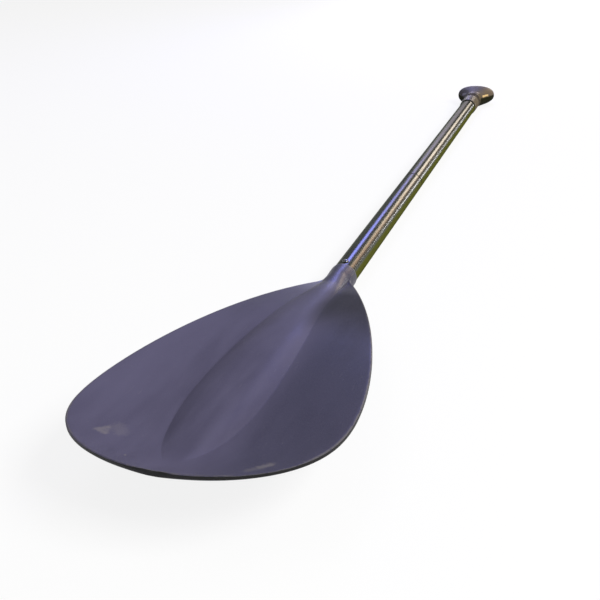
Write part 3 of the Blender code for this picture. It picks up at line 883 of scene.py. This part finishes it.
# A painted highlight is its start, its end, its width in metres, its amount and its colour.
PAINTED_HIGHLIGHTS = (
    ((0.6700, 0.0170, 0.0265), (0.6780, 0.0230, 0.0245), 0.0060, 0.8, (0.240, 0.230, 0.260)),
    ((0.6620, 0.0070, 0.0310), (0.6650, -0.0090, 0.0310), 0.0040, 0.8, (0.260, 0.215, 0.220)),
    ((0.6690, -0.0190, 0.0222), (0.6825, -0.0270, 0.0225), 0.0042, 0.9, (0.70, 0.50, 0.22)),
)
print("spots on the grip:", len(PAINTED_HIGHLIGHTS))

# %% Glossy grip
grip_finish, tree, shader = new_finish(
    "glossy_grip", {"Metallic": 0.0, "Specular IOR Level": 0.08, "Coat Roughness": 0.28}
)
where, place = object_place(tree)
grain = place_effect(tree, grain_effect, where, Scale=1100.0)
mottle = place_effect(tree, mottle_effect, where, Stretch=(70.0, 70.0, 70.0))
scratches = place_effect(tree, hair_effect, where, Stretch=(900.0, 120.0, 700.0), Amount=0.08)
rubbed = place_effect(tree, edge_effect, where, Edge=number_on(tree, "edge_wear"), Amount=0.5)
# painted shade in the groove
groove = zone(tree, place, SHADED_GROOVE)
# painted shade on the lower half
below = zone(tree, place, SHADED_LOWER_HALF)
collar_reflection = zone(tree, place, OLIVE_COLLAR_REFLECTION)
highlight_layers = []
for start, end, width, amount, highlight_colour in PAINTED_HIGHLIGHTS:
    stroke = place_effect(tree, scuff_effect, where, Start=start, End=end, Width=width)
    highlight_layers.append((stroke, amount, highlight_colour))
colour = layered(
    tree,
    tint(tree, mottle, (0.058, 0.052, 0.048), (0.078, 0.071, 0.066)),
    (
        (zone(tree, place, WARM_RIGHT_HIGHLIGHT), 0.7, (0.125, 0.095, 0.058)),
        (collar_reflection, 0.8, (0.090, 0.070, 0.030)),
        *highlight_layers,
        (scratches, 0.3, (0.16, 0.15, 0.15)),
        (rubbed, 0.4, (0.17, 0.16, 0.15)),
        (zone(tree, place, SHADED_LOWER_HALF + ON_KNOB), 1.0, (0.010, 0.011, 0.003)),
        (groove, 0.8, (0.022, 0.018, 0.012)),
    ),
)
feed(tree, shader.inputs["Base Color"], colour)
bump(tree, shader, grain, distance=0.00002)
print("finish:", grip_finish.name)

# %% [markdown]
# The groove's painted shade has to stay dark although the lamps graze it. A darker colour
# alone can't do this, because at a grazing angle most of the light is mirrored and not
# coloured. So the groove, the lower half and the collar's right side, which carry painted
# shade and a painted reflection, are rougher. The groove and the collar's right side also
# lose most of their coat, and the knob keeps only a tenth.

# %% Gloss of the grip
dulled = joined(tree, "MAXIMUM", maths(tree, "MAXIMUM", below, groove), collar_reflection, 0.7)
dulled = maths(tree, "MULTIPLY", dulled, 0.5)
dulled = maths(tree, "MAXIMUM", dulled, zone(tree, place, ROUGH_KNOB))
feed(tree, shader.inputs["Roughness"], maths(tree, "ADD", uneven(tree, mottle, 0.38, 0.46), dulled))
lost = joined(tree, "MAXIMUM", maths(tree, "MULTIPLY", groove, 0.85), collar_reflection, 0.75)
kept = maths(tree, "SUBTRACT", zone(tree, place, COAT_ENDS), lost, clamp=True)
feed(tree, shader.inputs["Coat Weight"], maths(tree, "MULTIPLY", clear_coat(tree, 0.22), kept))
print("nodes in the grip's finish:", len(tree.nodes))

# %% [markdown]
# Bare metals need no base tint beyond their own colour. Drawing and polishing leave
# fine lines, here along the shaft on all three pieces, and handling dulls them in
# patches. One function makes all three finishes, because only the tones, the length
# of the lines and the roughness differ.

# %% Bare metals
def bare_metal(name, dull, bright, stretch, rough):
    """A bare metal with fine lines along the direction of least stretch."""
    made, tree, shader = new_finish(name, {"Metallic": 1.0, "Coat Weight": 0.0})
    where = object_place(tree)[0]
    mottle = place_effect(tree, mottle_effect, where, Stretch=(90.0, 90.0, 90.0))
    lines = place_effect(tree, hair_effect, where, Stretch=stretch, Amount=0.16)
    rubbed = place_effect(tree, edge_effect, where, Edge=number_on(tree, "edge_wear"), Amount=0.6)
    polished = tuple(min(1.0, part * 1.25) for part in bright)
    colour = layered(tree, tint(tree, mottle, dull, bright), ((rubbed, 0.5, polished),))
    feed(tree, shader.inputs["Base Color"], colour)
    level = uneven(tree, mottle, rough + 0.08, rough)
    feed(tree, shader.inputs["Roughness"], joined(tree, "ADD", level, lines, 0.10))
    bump(tree, shader, lines, distance=0.00001)
    print("finish:", made.name)
    return made


button_finish = bare_metal(
    "polished_button",
    dull=(0.17, 0.17, 0.18),
    bright=(0.25, 0.25, 0.26),
    stretch=(400.0, 2600.0, 900.0),
    rough=0.18,
)
spring_finish = bare_metal(
    "spring_strip",
    dull=(0.34, 0.34, 0.36),
    bright=(0.46, 0.46, 0.48),
    stretch=(60.0, 2200.0, 1800.0),
    rough=0.28,
)
sleeve_finish = bare_metal(
    "drawn_sleeve",
    dull=(0.48, 0.49, 0.50),
    bright=(0.60, 0.61, 0.62),
    stretch=(30.0, 2400.0, 2400.0),
    rough=0.28,
)

# %% [markdown]
# The bungs are closed-cell foam. A cell pattern stands for the cut pores: it darkens
# their middles and dents the surface there.

# %% Foam bungs
bung_finish, tree, shader = new_finish("foam_bung", {"Metallic": 0.0, "Roughness": 0.9})
where = object_place(tree)[0]
pores = cell_distance(tree, where, scale=1300.0)
mottle = place_effect(tree, mottle_effect, where, Stretch=(120.0, 120.0, 120.0))
colour = tint(tree, mottle, (0.026, 0.026, 0.028), (0.042, 0.042, 0.044))
colour = tint(tree, between(tree, pores, 0.1, 0.4), (0.012, 0.012, 0.013), colour)
feed(tree, shader.inputs["Base Color"], colour)
bump(tree, shader, pores, distance=0.0001)
print("finish:", bung_finish.name)

# %% [markdown]
# New pieces get their finish as their only material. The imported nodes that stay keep
# their mesh, so only their material slots are pointed at a finish.

# %% Give every piece its finish
for piece, surface in (
    (blade, blade_finish),
    (grip, grip_finish),
    (button, button_finish),
    (spring, spring_finish),
    (lower_tube, lacquer_finish),
    (upper_tube, lacquer_finish),
):
    piece.data.materials.clear()
    piece.data.materials.append(surface)
STAYING = {
    "neck_ferrule": sleeve_finish,
    "mid_ferrule": sleeve_finish,
    "neck_ferrule_plug": bung_finish,
    "lower_shaft_bottom_plug": bung_finish,
    "lower_shaft_top_plug": bung_finish,
    "mid_ferrule_plug": bung_finish,
}
for name, surface in STAYING.items():
    for slot in bpy.data.objects[name].material_slots:
        slot.material = surface
print("nodes that stay:", len(STAYING))

# %% [markdown]
# Studio
#
# The floor is pale paper. It shows near white to the camera and in reflections through
# a share of plain light, and still takes the paddle's shadow.

# %% Floor and world
PAPER_GLOW = 0.86
bpy.ops.object.select_all(action="DESELECT")
bpy.ops.mesh.primitive_plane_add(size=60.0, location=(4.0, 0.0, 0.0))
floor = bpy.context.object
floor.name = "studio_floor"
paper, tree, shader = new_finish(
    "studio_paper", {"Base Color": (0.84, 0.84, 0.84), "Roughness": 0.9, "Specular IOR Level": 0.1}
)
glow = add(tree, "ShaderNodeEmission", {})
path = add(tree, "ShaderNodeLightPath", {}).outputs
seen = maths(tree, "ADD", path["Is Camera Ray"], path["Is Glossy Ray"], clamp=True)
share = maths(tree, "MULTIPLY", seen, PAPER_GLOW)
blend = add(tree, "ShaderNodeMixShader", {0: share, 1: shader.outputs["BSDF"], 2: glow.outputs["Emission"]})
feed(tree, tree.nodes["Material Output"].inputs["Surface"], blend.outputs["Shader"])
floor.data.materials.append(paper)

world = bpy.data.worlds.new("studio_world")
bpy.context.scene.world = world
world.use_nodes = True
sky = world.node_tree.nodes["Background"]
sky.inputs["Color"].default_value = (1.0, 1.0, 1.0, 1.0)
sky.inputs["Strength"].default_value = 0.18
bpy.context.scene.view_settings.view_transform = "Standard"
print("floor and world ready")

# %% [markdown]
# A large soft lamp high on the right lights the faces that lean that way and leaves the
# others darker, which draws the rib, and a weak one on the left fills the shadows. Rows
# of long lamps stand beyond the grip, end to end beside the shaft's line. A tube
# mirrors such a row as one streak along its whole length, and the streak changes colour
# where the row does. Lower lamps tint the tube's flanks, a white row just above the
# floor draws the bright line on its right side, and one small warm lamp gives the grip
# its glint.

# %% Lamps
def soft_lamp(name, start, end, width, strength, colour, aim):
    """A rectangular lamp from one point to another, turned to face the paddle."""
    data = bpy.data.lights.new(name, "AREA")
    data.shape = "RECTANGLE"
    data.size = (end - start).length
    data.size_y = width
    data.energy = strength * data.size * data.size_y
    data.color = colour
    lamp = bpy.data.objects.new(name, data)
    bpy.context.scene.collection.objects.link(lamp)
    across = (end - start).normalized()
    middle = (start + end) / 2.0
    away = (middle - aim).normalized()
    away = (away - across * away.dot(across)).normalized()
    lamp.matrix_world = placed(middle, across, away.cross(across), away)
    lamp.visible_camera = False


AT_BLADE = (-0.5, 0.0, 0.0)
AT_NECK = (-0.3, 0.0, 0.0)
AT_TUBE = (-0.1, 0.0, 0.0)
AT_GRIP = (0.62, 0.0, 0.03)
WHITE = (1.0, 1.0, 1.0)
LILAC = (0.28, 0.31, 1.0)
LAVENDER = (0.44, 0.45, 1.0)
MAUVE = (0.98, 0.86, 0.90)
TAN = (1.0, 0.62, 0.38)
WARM = (1.0, 0.76, 0.53)
CREAM = (1.0, 0.87, 0.71)
BROWN = (1.0, 0.50, 0.28)
BEIGE = (1.0, 0.98, 0.92)
GREEN = (0.80, 1.0, 0.88)
GOLD = (1.0, 0.78, 0.42)
# A lamp is its start, its end, its width, its strength, its colour and what it faces.
LAMPS = {
    "key": ((-1.6, -2.1, 2.10), (0.2, -2.1, 2.10), 1.2, 48.0, WHITE, AT_BLADE),
    "top_fill": ((-1.0, 0.9, 2.2), (0.6, 0.9, 2.2), 1.0, 4.0, WHITE, AT_NECK),
    "lilac_streak": ((1.10, 0.14, 1.00), (2.15, 0.42, 0.92), 0.36, 38.0, LILAC, AT_TUBE),
    "pale_lilac_streak": ((2.15, 0.42, 0.92), (2.75, 0.545, 0.855), 0.40, 13.5, LAVENDER, AT_TUBE),
    "mauve_streak": ((2.75, 0.56, 0.85), (4.70, 0.34, 0.955), 0.84, 7.8, MAUVE, AT_TUBE),
    "tan_streak": ((1.20, -0.75, 0.69), (1.95, -0.69, 0.74), 0.40, 12.5, TAN, AT_TUBE),
    "warm_streak": ((1.95, -0.68, 0.75), (2.50, -0.56, 0.84), 0.40, 20.0, WARM, AT_TUBE),
    "cream_streak": ((2.50, -0.54, 0.85), (4.70, -0.485, 0.89), 0.44, 36.0, CREAM, AT_TUBE),
    "brown_side": ((1.40, -0.95, 0.36), (4.70, -0.95, 0.36), 0.30, 1.4, BROWN, AT_TUBE),
    "beige_side": ((2.97, 0.88, 0.42), (4.70, 0.88, 0.42), 0.50, 7.0, BEIGE, AT_TUBE),
    "green_side": ((1.60, 0.88, 0.42), (2.97, 0.88, 0.42), 0.50, 1.0, GREEN, AT_TUBE),
    "pale_streak": ((2.05, -1.00, 0.085), (2.40, -1.00, 0.085), 0.13, 22.0, WHITE, AT_TUBE),
    "white_streak": ((2.40, -1.00, 0.085), (3.04, -1.00, 0.085), 0.13, 80.0, WHITE, AT_TUBE),
    "far_streak": ((4.12, -1.00, 0.085), (5.00, -1.00, 0.085), 0.13, 130.0, WHITE, AT_TUBE),
    "warm_glint": ((1.20, -2.7, 0.75), (1.70, -2.5, 0.75), 0.5, 26.0, GOLD, AT_GRIP),
}
for name, (start, end, width, strength, colour, aim) in LAMPS.items():
    soft_lamp(name, Vector(start), Vector(end), width, strength, colour, Vector(aim))
print("lamps:", len(LAMPS))
